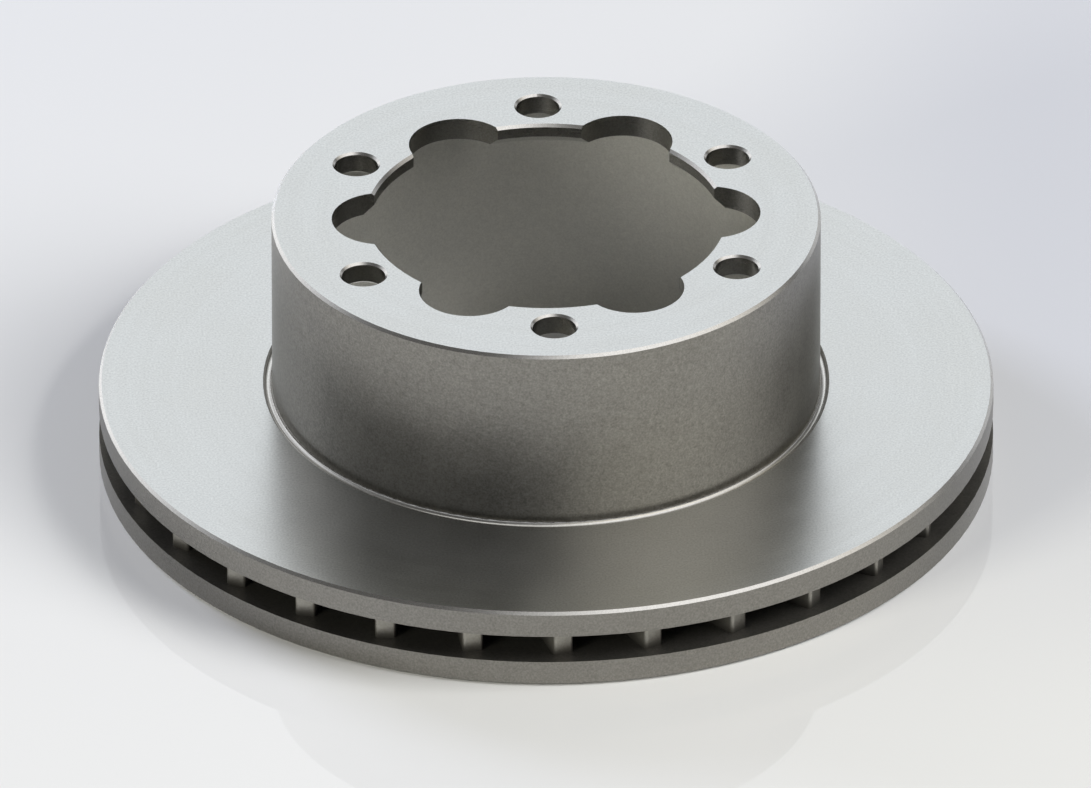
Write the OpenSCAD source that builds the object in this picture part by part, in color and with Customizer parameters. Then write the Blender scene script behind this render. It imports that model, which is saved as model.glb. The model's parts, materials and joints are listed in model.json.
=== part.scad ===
// Ventilated brake disc, cast in one piece: two friction cheeks joined by curved vanes, and a deep
// hat whose flange bolts to the hub. Millimetres. The disc stands on its inboard friction face. The
// origin is on the axis in that face, +Z points out of the hat, and one bolt hole lies on +Y.

/* [Friction ring] */
// Outside diameter of the friction ring
disc_d = 320; // [300:1:360]
// Thickness over the two friction faces
disc_t = 30; // [28:0.5:36]
// Thickness of the outboard cheek, which the hat carries
outboard_cheek_t = 9.75; // [8:0.25:11]
// Thickness of the inboard cheek, which the vanes carry
inboard_cheek_t = 9.75; // [8:0.25:11]
// Width of the air inlet between the hat's wall and the inboard cheek
inlet_gap = 9; // [6:0.5:12]
// Chamfer on the outer edge of both friction faces and on the inboard cheek's bore
rim_chamfer = 1; // [0.5:0.1:2]

/* [Vanes] */
// Number of vanes
vane_count = 30; // [24:1:36]
// Thickness of a vane
vane_t = 7.5; // [5:0.5:9]
// Radius on the corners of a vane's flat outer end
vane_corner_r = 1.25; // [0.5:0.25:2]
// Distance from the rim to the middle of a vane's outer end
vane_setback = 5.6; // [2:0.1:10]
// Distance from the inboard cheek's bore to a vane's round inner end
vane_inner_setback = 1; // [0.5:0.5:6]
// Lean of a vane away from the radius at its outer end, in degrees
vane_lean_outer = 20; // [12:1:30]
// Lean of a vane away from the radius at its inner end, in degrees
vane_lean_inner = 8; // [0:1:12]

/* [Hat] */
// Height from the inboard friction face to the top of the hat
hat_h = 98.5; // [70:0.5:130]
// Distance from the bolt circle out to the inside of the hat's wall
bolt_wall_gap = 13.3; // [12:0.1:18]
// Thickness of the hat's wall
hat_wall_t = 8; // [6:0.5:10]
// Thickness of the flange on top of the hat
flange_t = 8.3; // [6:0.1:12]
// Chamfer on the hat's top edge
hat_chamfer = 1; // [0.5:0.1:2]
// Radius between the flange and the wall, inside the hat
inner_fillet = 5; // [2:0.5:8]
// Height of the wall's lower edge above the inboard friction face
skirt_rise = 3; // [0.5:0.5:6]
// Chamfer on the inside of the wall's lower edge
skirt_chamfer = 1; // [0.5:0.1:2]
// Radius between the wall and the outboard cheek, in the air inlet
inlet_fillet = 3; // [1:0.5:4]

/* [Foot of the hat] */
// Width of the run-out groove in the outboard friction face
groove_w = 3.4; // [3:0.1:5]
// Depth of the run-out groove, at most half its width
groove_depth = 1.5; // [0.5:0.1:1.5]
// Height of the turned band at the foot of the wall
foot_band_h = 4; // [2:0.5:8]
// Depth of the turned band in the cast wall
foot_band_depth = 0.1; // [0.1:0.1:0.5]

/* [Pilot bore] */
// Distance from the bolt circle in to the lands of the pilot bore
pilot_inset = 13.4; // [12:0.1:16]
// Chamfer on the lands' outboard edge
pilot_chamfer = 1; // [0.5:0.1:2]
// Chamfer on the lands' inboard edge
pilot_back_chamfer = 3.5; // [1:0.5:5]
// Number of scallops cut into the pilot bore
scallop_count = 6; // [3:1:8]
// Radius of a scallop
scallop_r = 17.9; // [14:0.1:19]
// Depth of a scallop beyond the lands
scallop_depth = 13.25; // [10:0.25:15]

/* [Bolt holes] */
// Number of bolt holes
bolt_count = 6; // [3:1:8]
// Diameter of the bolt circle
bolt_circle_d = 153.4; // [140:0.1:170]
// Diameter of a bolt hole
bolt_hole_d = 15.5; // [12:0.1:16]
// Chamfer on both ends of a bolt hole
bolt_hole_chamfer = 0.8; // [0.3:0.1:1.2]

/* [Hidden] */
$fn = 180;
// Overlap that fuses the vanes into the cheeks, and length by which cutters pass a face
fuse = 0.5;
past = 1;
disc_r = disc_d / 2;
// The hub's bolt circle places the hat around it and the pilot bore inside it
bolt_circle_r = bolt_circle_d / 2;
hat_inner_r = bolt_circle_r + bolt_wall_gap;
hat_r = hat_inner_r + hat_wall_t;
inboard_bore_r = hat_r + inlet_gap;
pilot_r = bolt_circle_r - pilot_inset;
scallop_circle_r = pilot_r + scallop_depth - scallop_r;
foot_r = hat_r - foot_band_depth;
outboard_cheek_z = disc_t - outboard_cheek_t;
flange_z = hat_h - flange_t;
first_bolt_angle = 90;
// The groove is a round-bottomed arc with this radius, from its width and depth
groove_r = (pow(groove_w / 2, 2) + pow(groove_depth, 2)) / (2 * groove_depth);
// A vane follows one arc that leans as stated where it meets these two radii
vane_tip_r = sqrt(pow(disc_r - vane_setback, 2) - pow(vane_corner_r * sin(vane_lean_outer), 2))
    - vane_corner_r * cos(vane_lean_outer);
vane_root_r = inboard_bore_r + vane_inner_setback + vane_t / 2;
vane_arc_r = (pow(vane_tip_r, 2) - pow(vane_root_r, 2))
    / (2 * (vane_tip_r * sin(vane_lean_outer) - vane_root_r * sin(vane_lean_inner)));
vane_arc_x = vane_tip_r - vane_arc_r * sin(vane_lean_outer);
vane_arc_y = vane_arc_r * cos(vane_lean_outer);
vane_arc_offset = norm([vane_arc_x, vane_arc_y]);
vane_tip_angle = vane_lean_outer - 90;
vane_root_angle = atan2(vane_arc_y, vane_arc_x) - 180
    + acos((pow(vane_arc_offset, 2) + pow(vane_arc_r, 2) - pow(vane_root_r, 2))
        / (2 * vane_arc_offset * vane_arc_r));

// A box in the turning section, from one radius and height to another
module section_box(r0, z0, r1, z1) {
    translate([r0, z0])
        square([r1 - r0, z1 - z0]);
}

// A right triangle that takes the corner at (r, z) off, towards the signs given
module corner_cut(r, z, size, side_r, side_z) {
    translate([r, z])
        polygon([
            [past * side_r, past * side_z],
            [-(size + past) * side_r, past * side_z],
            [past * side_r, -(size + past) * side_z]
        ]);
}

// The fillet that fills the inside corner at (r, z), away from the signs given
module corner_fill(r, z, radius, side_r, side_z) {
    difference() {
        translate([r + (side_r < 0 ? -radius : -fuse), z + (side_z < 0 ? -radius : -fuse)])
            square(radius + fuse);
        translate([r + radius * side_r, z + radius * side_z])
            circle(radius);
    }
}

// Half section of the hat, its flange and the outboard cheek
module hat_section() {
    difference() {
        union() {
            section_box(hat_inner_r, skirt_rise, hat_r, hat_h);
            section_box(pilot_r, flange_z, hat_r, hat_h);
            section_box(hat_inner_r, outboard_cheek_z, disc_r, disc_t);
            corner_fill(hat_inner_r, flange_z, inner_fillet, -1, -1);
            corner_fill(hat_r, outboard_cheek_z, inlet_fillet, 1, -1);
        }
        corner_cut(hat_r, hat_h, hat_chamfer, 1, 1);
        corner_cut(disc_r, disc_t, rim_chamfer, 1, 1);
        corner_cut(hat_inner_r, skirt_rise, skirt_chamfer, -1, -1);
        corner_cut(pilot_r, hat_h, pilot_chamfer, -1, 1);
        corner_cut(pilot_r, flange_z, pilot_back_chamfer, -1, -1);
        section_box(foot_r, disc_t, hat_r + past, disc_t + foot_band_h);
        groove_section();
    }
}

// Half section of the run-out groove between the hat's foot and the outboard friction face
module groove_section() {
    intersection() {
        translate([foot_r + groove_w / 2, disc_t - groove_depth + groove_r])
            circle(groove_r);
        section_box(foot_r, disc_t - groove_depth - past, foot_r + groove_w, disc_t + past);
    }
}

// Half section of the inboard cheek
module inboard_section() {
    difference() {
        section_box(inboard_bore_r, 0, disc_r, inboard_cheek_t);
        corner_cut(disc_r, 0, rim_chamfer, 1, -1);
        corner_cut(inboard_bore_r, 0, rim_chamfer, -1, -1);
    }
}

// Plan outline of one vane, with its outer end on +X
module vane_outline() {
    reach = 2 * vane_arc_r;
    middle_angle = (vane_root_angle + vane_tip_angle) / 2;
    translate([vane_arc_x, vane_arc_y]) {
        intersection() {
            difference() {
                circle(vane_arc_r + vane_t / 2);
                circle(vane_arc_r - vane_t / 2);
            }
            polygon([
                [0, 0],
                reach * [cos(vane_root_angle), sin(vane_root_angle)],
                reach * [cos(middle_angle), sin(middle_angle)],
                reach * [cos(vane_tip_angle), sin(vane_tip_angle)]
            ]);
        }
        translate(vane_arc_r * [cos(vane_root_angle), sin(vane_root_angle)])
            circle(vane_t / 2, $fn = 48);
    }
    translate([vane_tip_r, 0])
        rotate(vane_lean_outer)
            vane_nose();
}

// Flat outer end of a vane with round corners, from the end of its arc towards +X
module vane_nose() {
    corner_y = vane_t / 2 - vane_corner_r;
    translate([-fuse, -corner_y])
        square([fuse + vane_corner_r, 2 * corner_y]);
    for (side = [-1, 1])
        translate([0, side * corner_y])
            circle(vane_corner_r, $fn = 32);
}

// The ring of vanes, one of them ending beside the first bolt hole
module vanes() {
    translate([0, 0, inboard_cheek_t - fuse])
        linear_extrude(outboard_cheek_z - inboard_cheek_t + 2 * fuse)
            for (i = [0 : vane_count - 1])
                rotate(first_bolt_angle + i * 360 / vane_count)
                    vane_outline();
}

// The scallops through the flange, each midway between two bolt holes
module scallops() {
    for (i = [0 : scallop_count - 1])
        rotate(first_bolt_angle + (i + 0.5) * 360 / scallop_count)
            translate([scallop_circle_r, 0, flange_z - past])
                cylinder(r = scallop_r, h = flange_t + 2 * past);
}

// The bolt holes through the flange, chamfered at both ends
module bolt_holes() {
    $fn = 72;
    hole_r = bolt_hole_d / 2;
    chamfer_h = bolt_hole_chamfer + past;
    for (i = [0 : bolt_count - 1])
        rotate(first_bolt_angle + i * 360 / bolt_count)
            translate([bolt_circle_r, 0, 0]) {
                translate([0, 0, flange_z - past])
                    cylinder(r = hole_r, h = flange_t + 2 * past);
                translate([0, 0, hat_h - bolt_hole_chamfer])
                    cylinder(r1 = hole_r, r2 = hole_r + chamfer_h, h = chamfer_h);
                translate([0, 0, flange_z - past])
                    cylinder(r1 = hole_r + chamfer_h, r2 = hole_r, h = chamfer_h);
            }
}

// The finished casting
module brake_disc() {
    color([0.66, 0.67, 0.68])
        difference() {
            union() {
                rotate_extrude()
                    hat_section();
                rotate_extrude()
                    inboard_section();
                vanes();
            }
            scallops();
            bolt_holes();
        }
}

brake_disc();
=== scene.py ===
import json
import math

import bpy
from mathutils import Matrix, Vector

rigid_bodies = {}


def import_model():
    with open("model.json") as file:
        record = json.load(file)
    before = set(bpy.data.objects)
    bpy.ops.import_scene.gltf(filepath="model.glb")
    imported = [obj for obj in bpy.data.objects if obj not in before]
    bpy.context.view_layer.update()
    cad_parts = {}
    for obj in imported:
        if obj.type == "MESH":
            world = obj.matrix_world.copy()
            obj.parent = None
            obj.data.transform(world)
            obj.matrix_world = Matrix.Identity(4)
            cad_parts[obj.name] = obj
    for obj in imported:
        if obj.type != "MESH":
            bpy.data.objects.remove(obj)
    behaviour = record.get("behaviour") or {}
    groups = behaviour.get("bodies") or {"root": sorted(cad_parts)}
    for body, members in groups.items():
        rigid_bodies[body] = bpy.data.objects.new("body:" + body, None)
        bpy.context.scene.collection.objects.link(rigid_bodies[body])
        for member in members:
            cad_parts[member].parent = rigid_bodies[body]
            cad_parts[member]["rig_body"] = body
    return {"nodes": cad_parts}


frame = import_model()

# The default scene's cube, lamp and camera are no part of the object
for thing in list(bpy.data.objects):
    if "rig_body" not in thing and not thing.name.startswith("body:"):
        bpy.data.objects.remove(thing)
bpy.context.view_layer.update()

scene = bpy.context.scene
scene.view_settings.view_transform = "Standard"

# Camera: the photograph is almost a parallel view, so the lens is long and stands far back.
# FRAME_WIDTH is what the picture spans at AIM, in metres; LENS and SENSOR are in millimetres.
AZIMUTH = math.radians(-2.2)
ELEVATION = math.radians(31.11)
RIGHT = Vector((math.cos(AZIMUTH), math.sin(AZIMUTH), 0))
AWAY = Vector((-math.sin(AZIMUTH), math.cos(AZIMUTH), 0))
BACK = Vector((0, 0, 1)) * math.sin(ELEVATION) - AWAY * math.cos(ELEVATION)
AIM = Vector((0, 0, 0.0241)) - RIGHT * 0.00023
FRAME_WIDTH = 0.3903
LENS = 1150
SENSOR = 36

camera = bpy.data.objects.new("camera", bpy.data.cameras.new("camera"))
scene.collection.objects.link(camera)
camera.data.lens = LENS
camera.data.sensor_width = SENSOR
camera.data.clip_start = 0.1
camera.data.clip_end = 60
camera.location = AIM + BACK * (FRAME_WIDTH * LENS / SENSOR)
camera.rotation_mode = "QUATERNION"
camera.rotation_quaternion = (-BACK).to_track_quat("-Z", "Y")
scene.camera = camera


class Graph:
    """Short helpers to build one node tree."""

    def __init__(self, tree):
        self.tree = tree
        tree.nodes.clear()

    def put(self, value, socket):
        if isinstance(value, bpy.types.NodeSocket):
            self.tree.links.new(value, socket)
        else:
            socket.default_value = value

    def node(self, kind, inputs=(), **settings):
        made = self.tree.nodes.new(kind)
        for key, value in settings.items():
            setattr(made, key, value)
        for key, value in dict(inputs).items():
            self.put(value, made.inputs[key])
        return made

    def math(self, operation, a, b=0.0):
        return self.node("ShaderNodeMath", {0: a, 1: b}, operation=operation).outputs[0]

    def vector(self, operation, a, b=(0, 0, 0)):
        return self.node("ShaderNodeVectorMath", {0: a, 1: b}, operation=operation)

    def weigh(self, *pairs):
        """The sum of each value times its weight."""
        total = None
        for value, weight in pairs:
            part = self.math("MULTIPLY", value, weight)
            total = part if total is None else self.math("ADD", total, part)
        return total

    def along(self, place, direction):
        """How far a place lies in a direction."""
        return self.vector("DOT_PRODUCT", place, tuple(direction)).outputs["Value"]

    def radius(self, place):
        """Distance from the disc's axis."""
        flat = self.vector("MULTIPLY", place, (1, 1, 0)).outputs[0]
        return self.vector("LENGTH", flat).outputs["Value"]

    def ramp(self, value, low, high, out_low=0.0, out_high=1.0, smooth=True):
        inputs = {
            "Value": value,
            "From Min": low,
            "From Max": high,
            "To Min": out_low,
            "To Max": out_high,
        }
        kind = "SMOOTHSTEP" if smooth else "LINEAR"
        return self.node("ShaderNodeMapRange", inputs, interpolation_type=kind).outputs["Result"]

    def noise(self, place, scale, detail, rough=0.5, distort=0.0):
        inputs = {
            "Vector": place,
            "Scale": scale,
            "Detail": detail,
            "Roughness": rough,
            "Distortion": distort,
        }
        return self.node("ShaderNodeTexNoise", inputs, noise_dimensions="3D").outputs["Fac"]

    def lines(self, value, scale, detail):
        inputs = {"W": value, "Scale": scale, "Detail": detail, "Roughness": 0.6}
        return self.node("ShaderNodeTexNoise", inputs, noise_dimensions="1D").outputs["Fac"]

    def blend(self, factor, a, b):
        made = self.node("ShaderNodeMix", data_type="RGBA")
        for value, socket in ((factor, 0), (a, 6), (b, 7)):
            self.put(value, made.inputs[socket])
        return made.outputs[2]

    def bump(self, height, strength, distance, below=None):
        inputs = {"Height": height, "Strength": strength, "Distance": distance}
        if below is not None:
            inputs["Normal"] = below
        return self.node("ShaderNodeBump", inputs).outputs["Normal"]

    def surface(self, colour, **inputs):
        inputs = {"Base Color": colour, **inputs}
        shader = self.node("ShaderNodeBsdfPrincipled", inputs)
        self.node("ShaderNodeOutputMaterial", {"Surface": shader.outputs[0]})


def new_material(name):
    """An empty material, its graph and the place on the object."""
    made = bpy.data.materials.new(name)
    made.use_nodes = True
    g = Graph(made.node_tree)
    return made, g, g.node("ShaderNodeTexCoord").outputs["Object"]


def opaque(r, g, b):
    return (r, g, b, 1)


# A finish's colour runs from dark to light where its mixed noises run over MIX, and its
# roughness from the first to the second value of rough where they run over SPREAD
MIX = (0.36, 0.64)
SPREAD = (0.35, 0.65)
# Painted shade that a vane end passes into, inward and downward
PAINTED_VENT_SHADE = opaque(0.05, 0.046, 0.04)
PAINTED_FOOT_SHADE = opaque(0.13, 0.125, 0.115)


def turned(name, dark, light, rough, along, line_depth, grain_depth):
    """A turned or ground face: fine marks that follow the lathe, a fine grain and faint clouds."""
    made, g, place = new_material(name)
    if along == "radius":
        run = g.radius(place)
    else:
        run = g.node("ShaderNodeSeparateXYZ", {0: place}).outputs["Z"]
    run = g.math("ADD", run, g.math("MULTIPLY", g.noise(place, 30, 2), 0.0004))
    fine = g.lines(run, 900, 3)
    wide = g.lines(run, 170, 2)
    grain = g.noise(place, 1300, 2, 0.6)
    cloud = g.noise(place, 22, 3, 0.55)
    mix = g.weigh((fine, 0.06), (wide, 0.04), (grain, 0.68), (cloud, 0.22))
    g.surface(
        g.blend(g.ramp(mix, *MIX, smooth=False), dark, light),
        Roughness=g.ramp(g.weigh((cloud, 0.75), (wide, 0.25)), *SPREAD, *rough),
        Metallic=1.0,
        Normal=g.bump(grain, 0.5, grain_depth, g.bump(fine, 0.3, line_depth)),
    )
    return made


def cast(name, dark, light, stain, rough, grain_depth, metallic=1.0, fade=None, foot=None):
    """A sand-cast skin: granular bump, blotches and a few darker stains.

    It passes into painted shade inward over the radii of fade, and downward over the heights of
    foot."""
    made, g, place = new_material(name)
    grain = g.noise(place, 1300, 2, 0.65)
    sand = g.noise(place, 520, 2, 0.5)
    blotch = g.noise(place, 60, 4, 0.6, 0.4)
    cloud = g.noise(place, 17, 3, 0.55)
    mix = g.weigh((grain, 0.50), (sand, 0.20), (blotch, 0.16), (cloud, 0.14))
    colour = g.blend(g.ramp(mix, *MIX, smooth=False), dark, light)
    colour = g.blend(g.ramp(blotch, 0.60, 0.78, 0.0, 0.35), colour, stain)
    # Painted shade: darker inward into the vents and downward towards the vent floor
    if fade:
        colour = g.blend(g.ramp(g.radius(place), *fade), PAINTED_VENT_SHADE, colour)
    if foot:
        above = g.node("ShaderNodeSeparateXYZ", {0: place}).outputs["Z"]
        colour = g.blend(g.ramp(above, *foot), PAINTED_FOOT_SHADE, colour)
    g.surface(
        colour,
        Roughness=g.ramp(g.weigh((cloud, 0.5), (blotch, 0.5)), *SPREAD, *rough),
        Metallic=metallic,
        Normal=g.bump(grain, 0.5, grain_depth, g.bump(sand, 0.35, grain_depth * 2)),
    )
    return made


FINISHES = [
    turned(
        "ground_face", opaque(0.72, 0.745, 0.765), opaque(0.93, 0.955, 0.975),
        (0.28, 0.33), "radius", 0.0000006, 0.000005,
    ),
    turned(
        "turned_edge", opaque(0.80, 0.80, 0.79), opaque(0.93, 0.93, 0.92),
        (0.20, 0.26), "radius", 0.0000005, 0.000003,
    ),
    # The rim and the bored walls take darker copies of the turned finish, as painted shade on
    # upright faces
    turned(
        "turned_rim_painted_shade", opaque(0.225, 0.217, 0.199), opaque(0.33, 0.317, 0.291),
        (0.27, 0.33), "height", 0.000002, 0.000006,
    ),
    turned(
        "bored_wall_painted_shade", opaque(0.25, 0.243, 0.228), opaque(0.35, 0.342, 0.323),
        (0.25, 0.32), "height", 0.000002, 0.000006,
    ),
    # A darker copy of the turned finish, as painted shade on the groove's outer side and on the
    # chamfer under the rim
    turned(
        "turned_painted_shade", opaque(0.24, 0.235, 0.222), opaque(0.34, 0.333, 0.316),
        (0.30, 0.36), "radius", 0.000001, 0.000004,
    ),
    # The hat's wall: a sand-cast skin is darker than ground iron by itself, and this one is darker
    # still as painted shade
    cast(
        "cast_wall_and_painted_shade", opaque(0.212, 0.205, 0.187), opaque(0.38, 0.366, 0.333),
        opaque(0.222, 0.211, 0.19), (0.30, 0.37), 0.00002,
    ),
    cast(
        "cast_inside", opaque(0.72, 0.71, 0.665), opaque(0.88, 0.87, 0.82),
        opaque(0.62, 0.61, 0.565), (0.40, 0.50), 0.00003, 0.85,
    ),
    # The vane ends carry painted shade inward and towards their foot
    cast(
        "vane_end", opaque(0.31, 0.30, 0.27), opaque(0.42, 0.405, 0.37),
        opaque(0.26, 0.245, 0.22), (0.34, 0.42), 0.00003, 0.85,
        fade=(0.139, 0.154), foot=(0.0095, 0.0145),
    ),
    # A very dark copy of the cast skin, as painted shade inside the vents
    cast(
        "cast_painted_vent_shade", opaque(0.13, 0.125, 0.115), opaque(0.20, 0.193, 0.178),
        opaque(0.10, 0.096, 0.087), (0.42, 0.52), 0.00003, 0.85,
    ),
]

# Each face of the casting gets the finish that its place and direction call for. Measures are in
# millimetres, each a little beside the edge that it stands for.
GROUND_LEVELS = (0, 30, 90.2, 98.5)
RIM_R = 159.5
RIM_CHAMFER_R = 158.5
INBOARD_CHAMFER_TOP = 1.1
INBOARD_BORE_CHAMFER_R = 108.2
OUTBOARD_CHAMFER_FOOT = 28.9
VENT_FLOOR = 9.8
VENT_ROOF = 20.2
GROOVE_R = (97.8, 101.4)
GROOVE_Z = (28.4, 30.05)
FLANGE_FOOT = 90
FLANGE_R = 97
HAT_CHAMFER_FOOT = 97.4
HAT_WALL_R = (97.5, 98.1)
HAT_WALL_FOOT = 30
HAT_INSIDE_R = 91
VANE_END_R = 138


def finish_of(centre, normal):
    radius = math.hypot(centre.x, centre.y)
    outward = (normal.x * centre.x + normal.y * centre.y) / max(radius, 1e-9)
    r, z = radius * 1000, centre.z * 1000
    sloped = abs(normal.z) > 0.3
    if abs(normal.z) > 0.99 and any(abs(z - level) < 0.1 for level in GROUND_LEVELS):
        return "ground_face"
    # The upright rim takes a darker copy of the turned finish, as painted shade
    if r > RIM_R and not VENT_FLOOR <= z <= VENT_ROOF and outward > 0.9:
        return "turned_rim_painted_shade"
    # The chamfer under the rim takes the darker copy of the turned finish, as painted shade
    if z < INBOARD_CHAMFER_TOP and r > RIM_CHAMFER_R:
        return "turned_painted_shade"
    if z < INBOARD_CHAMFER_TOP and r < INBOARD_BORE_CHAMFER_R:
        return "turned_edge"
    if z > OUTBOARD_CHAMFER_FOOT and r > RIM_CHAMFER_R:
        return "turned_edge"
    # The groove's outer side takes the darker copy of the turned finish, as painted shade
    if GROOVE_Z[0] < z < GROOVE_Z[1] and GROOVE_R[0] < r < GROOVE_R[1]:
        return "turned_painted_shade" if outward < -0.42 else "turned_edge"
    # The bored walls take a darker copy of the turned finish, as painted shade
    if z > FLANGE_FOOT and r < FLANGE_R:
        return "turned_edge" if sloped else "bored_wall_painted_shade"
    if z > HAT_CHAMFER_FOOT and sloped:
        return "turned_edge"
    # The hat's upright outer wall takes the cast skin, darkened further as painted shade
    if z > HAT_WALL_FOOT and HAT_WALL_R[0] < r < HAT_WALL_R[1]:
        return "cast_wall_and_painted_shade"
    if r < HAT_INSIDE_R:
        return "cast_inside"
    # The rest of the vents takes the very dark copy of the cast skin, as painted shade
    return "vane_end" if r > VANE_END_R and abs(normal.z) < 0.5 else "cast_painted_vent_shade"


mesh = frame["nodes"]["brake_disc"].data
mesh.materials.clear()
for made in FINISHES:
    mesh.materials.append(made)
slots = [made.name for made in FINISHES]
for face in mesh.polygons:
    face.material_index = slots.index(finish_of(face.center, face.normal))

# Floor: pale and slightly glossy, so that the rim is mirrored softly in it, with a bluish painted
# shadow towards the back right
FLOOR_HALF = 25
FLOOR_DROP = 0.0002
floor_mesh = bpy.data.meshes.new("floor")
corners = [(x * FLOOR_HALF, y * FLOOR_HALF, 0) for x, y in ((-1, -1), (1, -1), (1, 1), (-1, 1))]
floor_mesh.from_pydata(corners, [], [(0, 1, 2, 3)])
floor = bpy.data.objects.new("floor", floor_mesh)
floor.location.z = -FLOOR_DROP
scene.collection.objects.link(floor)
made, g, place = new_material("floor")
# Painted shadow: the floor turns bluish grey towards the back right
to_right = g.ramp(g.along(place, RIGHT), 0.06, 0.19)
to_back = g.ramp(g.along(place, AWAY), -0.20, 0.03)
painted_shadow = g.math("MULTIPLY", to_right, to_back)
colour = g.blend(painted_shadow, opaque(0.83, 0.83, 0.835), opaque(0.725, 0.73, 0.765))
g.surface(colour, Roughness=0.02, IOR=1.38)
floor_mesh.materials.append(made)

# World: plain light for matt surfaces, and the studio's tent for what is seen or mirrored. Each
# ring of the tent lists its colours by azimuth: behind the object, left, camera side, right.
DIM = (0.09, 0.087, 0.083)
PLAIN = (0.50, 0.50, 0.50)
LOW_RING = [(0.60, 0.61, 0.60), (1.0, 1.0, 1.0), (1.0, 1.0, 1.0)] + [PLAIN] * 9
MID_RING = [
    (0.98, 1.0, 1.0), (0.49, 0.485, 0.485), (0.78, 0.78, 0.79), (0.15, 0.15, 0.148), DIM, DIM,
    DIM, (0.85, 0.80, 0.69), (1.0, 0.95, 0.84), (0.80, 0.76, 0.69), DIM, DIM,
]
HIGH_RING = [
    (0.44, 0.42, 0.315), (0.28, 0.27, 0.22), DIM, DIM, DIM, DIM, DIM, DIM,
    (0.45, 0.44, 0.43), (1.0, 0.98, 0.95), (1.0, 0.98, 0.95), (0.95, 0.93, 0.92),
    (0.90, 0.89, 0.90), (0.70, 0.67, 0.62), (0.48, 0.45, 0.345), (0.46, 0.43, 0.33),
]
ZENITH = (0.75, 0.74, 0.70)
MATT_LIGHT = (0.10, 0.105, 0.12)
# Sines of elevation over which one ring passes into the next, and the last one into the zenith
LOW_TO_MID = (0.18, 0.38)
MID_TO_HIGH = (0.58, 0.82)
HIGH_TO_ZENITH = (0.88, 0.96)

world = bpy.data.worlds.new("studio")
scene.world = world
world.use_nodes = True
g = Graph(world.node_tree)


def ring(colours, turn):
    """Colours at equal steps of the turn, closed into a ring."""
    made = g.node("ShaderNodeValToRGB", {0: turn})
    stops = made.color_ramp.elements
    while len(stops) > 1:
        stops.remove(stops[0])
    stops[0].position = 0
    for i in range(1, len(colours) + 1):
        stops.new(i / len(colours))
    for stop, colour in zip(stops, colours + colours[:1]):
        stop.color = opaque(*colour)
    return made.outputs[0]


ray = g.node("ShaderNodeTexCoord").outputs["Generated"]
height = g.along(ray, (0, 0, 1))
turn = g.math("ARCTAN2", g.along(ray, RIGHT), g.along(ray, -AWAY))
turn = g.math("ADD", g.math("DIVIDE", turn, 2 * math.pi), 0.5)
tent = g.blend(g.ramp(height, *LOW_TO_MID), ring(LOW_RING, turn), ring(MID_RING, turn))
tent = g.blend(g.ramp(height, *MID_TO_HIGH), tent, ring(HIGH_RING, turn))
tent = g.blend(g.ramp(height, *HIGH_TO_ZENITH), tent, opaque(*ZENITH))
path = g.node("ShaderNodeLightPath").outputs
mirrored = g.math("MAXIMUM", path["Is Glossy Ray"], path["Is Transmission Ray"])
shown = g.math("MAXIMUM", path["Is Camera Ray"], mirrored)
matt = g.node("ShaderNodeBackground", {"Color": opaque(*MATT_LIGHT), "Strength": 1.0})
view = g.node("ShaderNodeBackground", {"Color": tent, "Strength": 1.0})
mix = g.node("ShaderNodeMixShader", {0: shown, 1: matt.outputs[0], 2: view.outputs[0]})
g.node("ShaderNodeOutputWorld", {"Surface": mix.outputs[0]})

# Lamps: square softboxes that light the matt surfaces only, since the tent is what metal mirrors.
# Each has its direction as right, away and up of the camera, its size, watts and colour.
LAMPS = {
    "key": ((0.729, -0.195, 0.656), 1.1, 36.5, (1.0, 1.0, 0.97)),
    "front": ((-0.683, -0.683, 0.259), 0.7, 29.0, (1.0, 0.97, 0.84)),
    "back": ((-0.683, 0.683, 0.259), 0.7, 31.0, (0.77, 0.82, 1.0)),
}
LAMP_DISTANCE = 2.0
LAMP_CENTRE = Vector((0, 0, 0.04))

for name, ((right, away, up), size, watts, colour) in LAMPS.items():
    direction = (RIGHT * right + AWAY * away + Vector((0, 0, up))).normalized()
    light = bpy.data.lights.new(name, "AREA")
    light.shape = "SQUARE"
    light.size = size
    light.energy = watts
    light.color = colour
    lamp = bpy.data.objects.new(name, light)
    lamp.location = direction * LAMP_DISTANCE + LAMP_CENTRE
    lamp.rotation_mode = "QUATERNION"
    lamp.rotation_quaternion = direction.to_track_quat("Z", "Y")
    lamp.visible_glossy = False
    scene.collection.objects.link(lamp)
